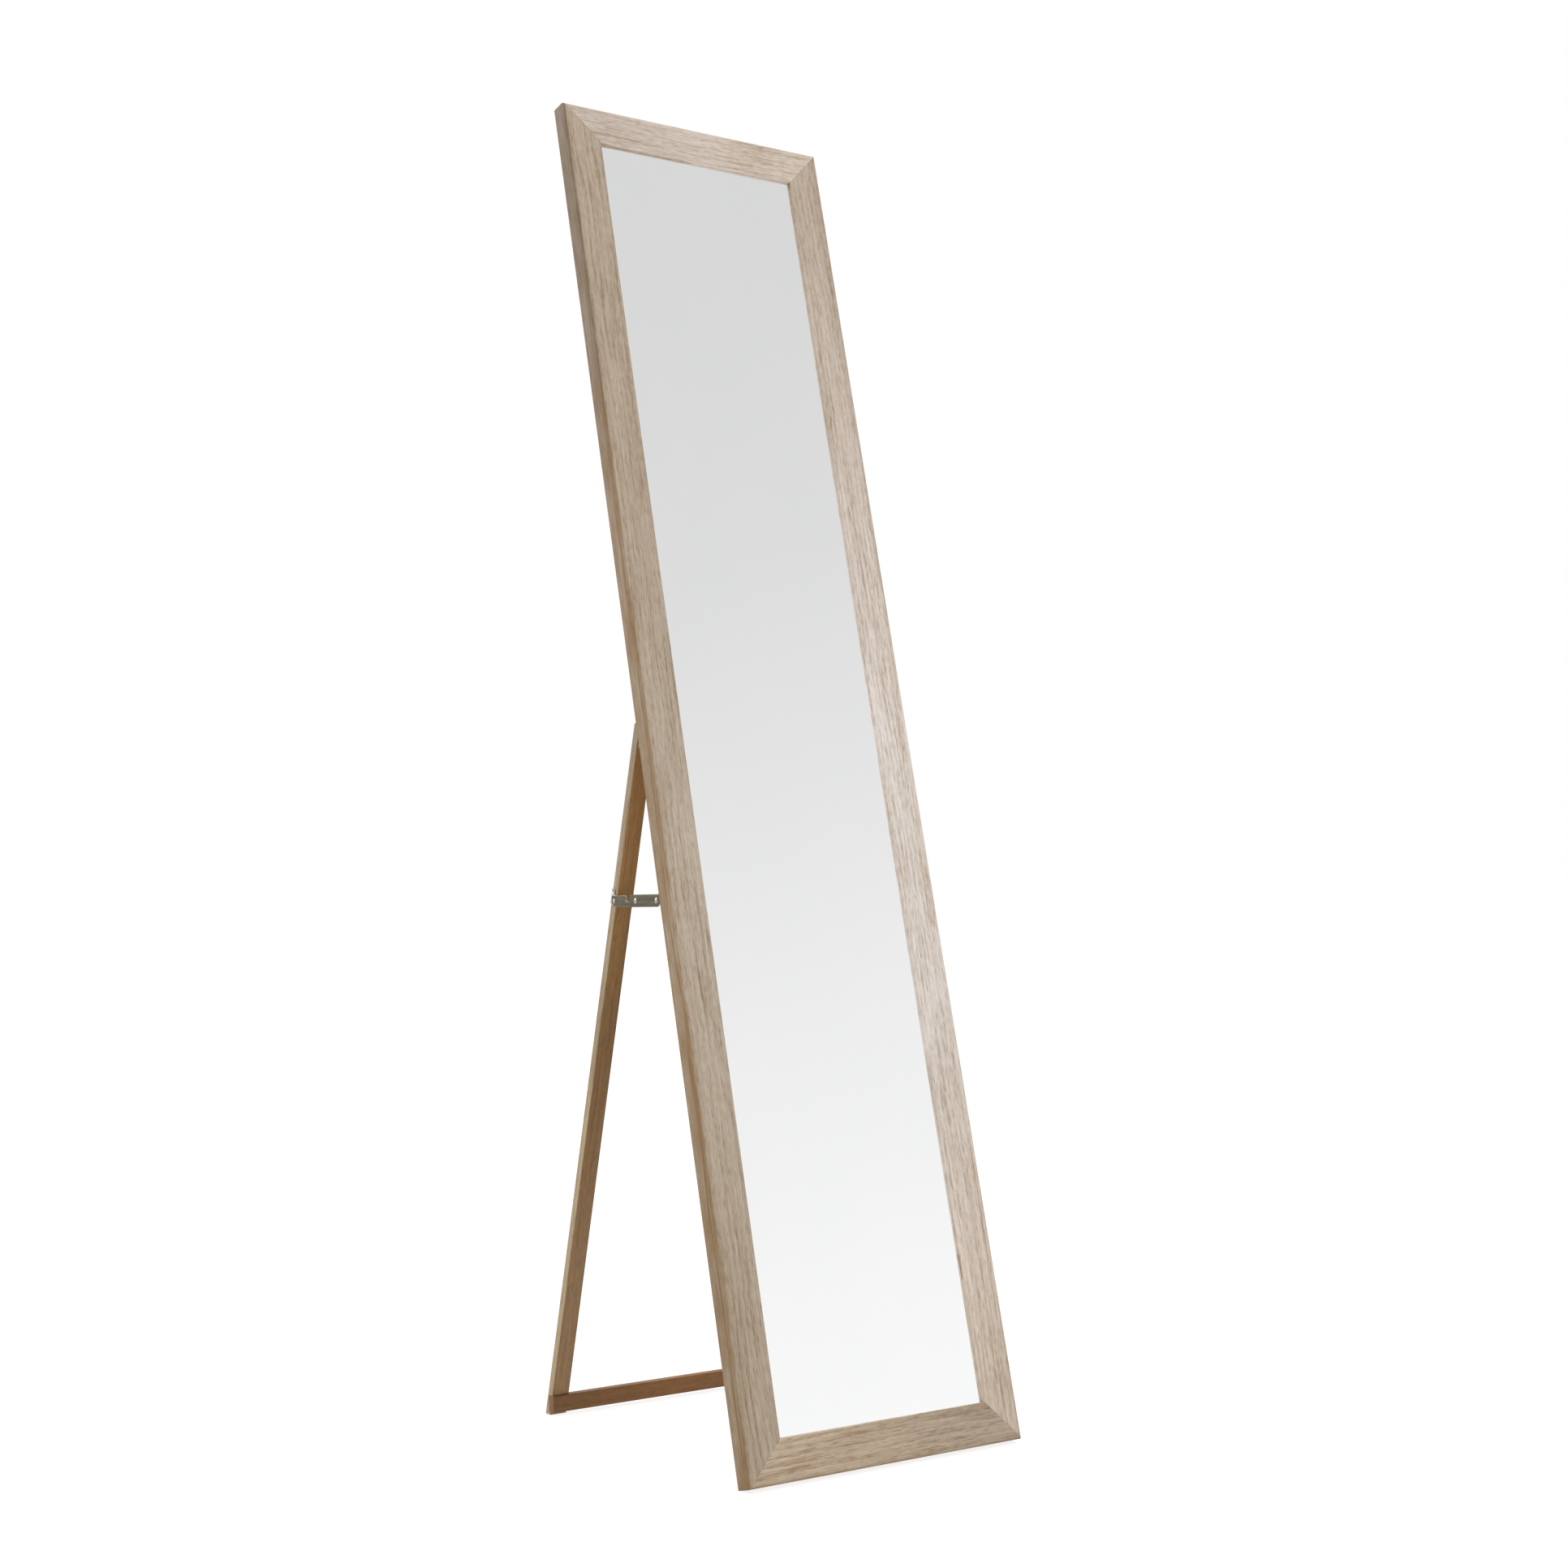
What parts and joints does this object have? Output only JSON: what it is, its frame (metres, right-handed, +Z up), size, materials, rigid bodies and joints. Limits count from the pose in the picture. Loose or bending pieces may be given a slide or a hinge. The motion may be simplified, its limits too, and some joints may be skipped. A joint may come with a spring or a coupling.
{
  "type": "floor mirror",
  "caption": "Tall easel floor mirror: a mitred wooden frame leaning back on two hinged rear legs with a cross bar, held open by folding locking stays.",
  "frame": {"origin": "on the floor, in the middle of the outline's width and depth", "axes": "+X to the right seen from the front, +Y to the rear, +Z up"},
  "size_m": [0.37, 0.4406, 1.557],
  "materials": {
    "frame_oak": "washed oak, fine open grain along each member, matt",
    "leg_oak": "stained oak, satin, straight grain",
    "bar_oak": "darker reddish stained oak, satin",
    "mirror": "silvered float glass",
    "backing": "brown hardboard, smooth face",
    "stay_steel": "zinc plated pressed steel, dull",
    "rivet_steel": "bright rolled rivet heads",
    "hinge_steel": "zinc plated pressed steel",
    "zinc": "bright zinc plated"
  },
  "bodies": {
    "mirror": {"left_stile": "frame_oak", "right_stile": "frame_oak", "top_rail": "frame_oak", "bottom_rail": "frame_oak", "mirror_glass": "mirror", "backing_board": "backing", "backing_points": "zinc", "corner_v_nails": "zinc", "hinge_frame_screws": "zinc", "frame_bracket_screws": "zinc", "left_hinge_frame_leaf": "hinge_steel", "left_hinge_pin": "zinc", "left_frame_bracket": "stay_steel", "left_frame_rivet": "rivet_steel", "right_hinge_frame_leaf": "hinge_steel", "right_hinge_pin": "zinc", "right_frame_bracket": "stay_steel", "right_frame_rivet": "rivet_steel"},
    "leg_frame": {"left_leg": "leg_oak", "right_leg": "leg_oak", "leg_cross_bar": "bar_oak", "cross_bar_screws": "zinc", "hinge_leg_screws": "zinc", "leg_bracket_screws": "zinc", "left_hinge_leg_leaf": "hinge_steel", "left_leg_bracket": "stay_steel", "right_hinge_leg_leaf": "hinge_steel", "right_leg_bracket": "stay_steel"},
    "left_stay_front": {"left_front_link": "stay_steel", "left_middle_rivet": "rivet_steel", "left_middle_washer": "rivet_steel"},
    "left_stay_rear": {"left_rear_link": "stay_steel", "left_leg_rivet": "rivet_steel"},
    "right_stay_front": {"right_front_link": "stay_steel", "right_middle_rivet": "rivet_steel", "right_middle_washer": "rivet_steel"},
    "right_stay_rear": {"right_rear_link": "stay_steel", "right_leg_rivet": "rivet_steel"}
  },
  "joints": [
    {"name": "leg_fold", "type": "hinge", "parent": "mirror", "child": "leg_frame", "pos_m": [0, 0.00549, 0.80166], "axis": [1, 0, 0], "range_deg": [-28, 0]},
    {"name": "left_stay_front_fold", "type": "hinge", "parent": "mirror", "child": "left_stay_front", "pos_m": [-0.18, -0.03724, 0.60959], "axis": [1, 0, 0], "range_deg": [0, 73.46]},
    {"name": "left_stay_rear_fold", "type": "hinge", "parent": "left_stay_front", "child": "left_stay_rear", "pos_m": [-0.18, 0.00882, 0.60878], "axis": [1, 0, 0], "range_deg": [-179.47, 0]},
    {"name": "right_stay_front_fold", "type": "hinge", "parent": "mirror", "child": "right_stay_front", "pos_m": [0.18, -0.03724, 0.60959], "axis": [1, 0, 0], "range_deg": [0, 73.46]},
    {"name": "right_stay_rear_fold", "type": "hinge", "parent": "right_stay_front", "child": "right_stay_rear", "pos_m": [0.18, 0.00882, 0.60878], "axis": [1, 0, 0], "range_deg": [-179.47, 0]}
  ],
  "couplings": [
    {"joint": "left_stay_front_fold", "follows": "leg_fold", "ratio": -2.6234},
    {"joint": "left_stay_rear_fold", "follows": "leg_fold", "ratio": 6.4096},
    {"joint": "right_stay_front_fold", "follows": "leg_fold", "ratio": -2.6234},
    {"joint": "right_stay_rear_fold", "follows": "leg_fold", "ratio": 6.4096}
  ]
}
